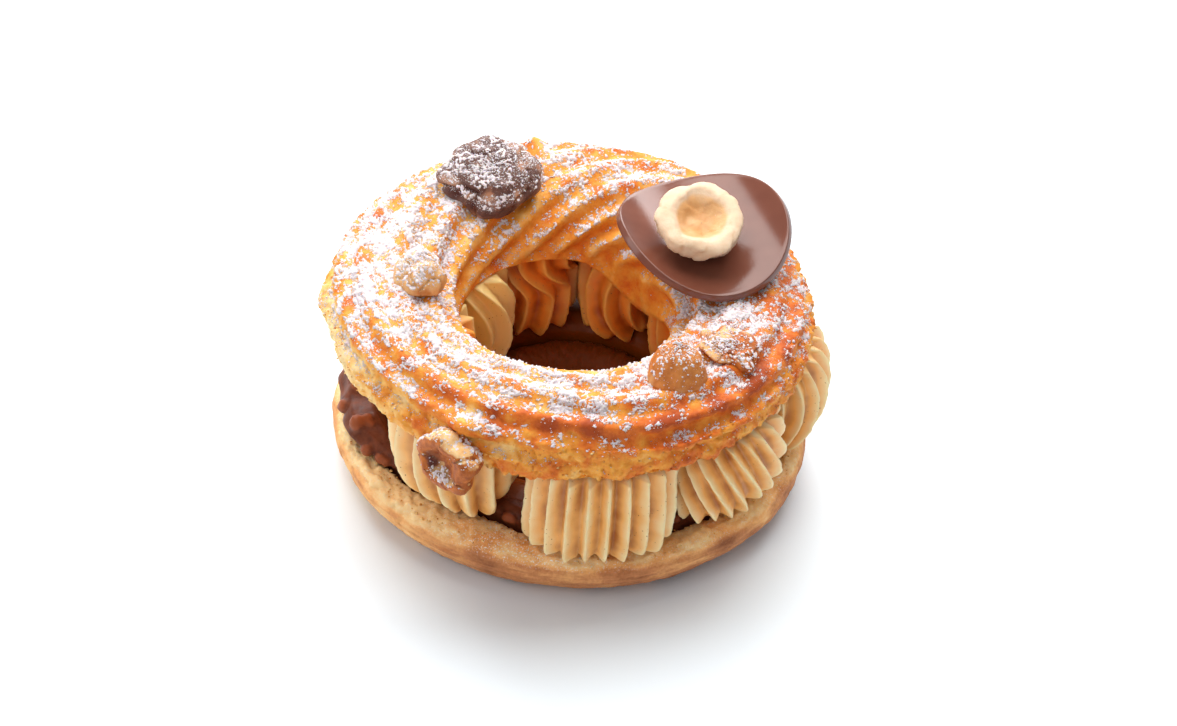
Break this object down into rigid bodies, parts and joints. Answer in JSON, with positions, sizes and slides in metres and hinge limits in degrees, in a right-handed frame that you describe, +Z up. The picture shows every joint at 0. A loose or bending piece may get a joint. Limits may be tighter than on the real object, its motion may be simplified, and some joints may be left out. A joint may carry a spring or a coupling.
{
  "type": "paris-brest",
  "caption": "Ring of choux pastry cut across and filled with praline chocolate and piped ridged cream, with a ridged crown, hazelnut pieces and a bent chocolate disc that carries a hazelnut.",
  "frame": {"origin": "centre of the overall box at the height of the underside; the ring's axis is 1.5 mm behind it, at y = +1.5 mm", "axes": "+Z up along the ring's axis; -Y is the side that faces the viewer; the chocolate disc lies towards +X and +Y"},
  "size_m": [0.0877, 0.087, 0.0527],
  "materials": {
    "choux_crown": "baked choux pastry, golden brown with icing sugar",
    "choux_base": "baked choux pastry, pale tan",
    "praline_chocolate": "glossy praline chocolate with chopped nuts",
    "cream": "piped praline cream, satin",
    "roast_hazelnut": "roast hazelnut, partly with its skin, dusted",
    "blanched_hazelnut": "blanched hazelnut, satin",
    "milk_chocolate": "tempered milk chocolate, satin"
  },
  "bodies": {
    "root": {"choux_base": "choux_base", "praline_filling": "praline_chocolate", "cream_swirl_1": "cream", "cream_swirl_2": "cream", "cream_swirl_3": "cream", "cream_swirl_4": "cream", "cream_swirl_5": "cream", "cream_swirl_6": "cream", "cream_swirl_7": "cream", "cream_swirl_8": "cream", "cream_swirl_9": "cream", "choux_crown": "choux_crown", "hazelnut_back": "roast_hazelnut", "hazelnut_left": "roast_hazelnut", "hazelnut_front": "roast_hazelnut", "hazelnut_right": "roast_hazelnut", "hazelnut_chip": "roast_hazelnut", "hazelnut_on_disc": "blanched_hazelnut", "chocolate_disc": "milk_chocolate"}
  },
  "joints": []
}
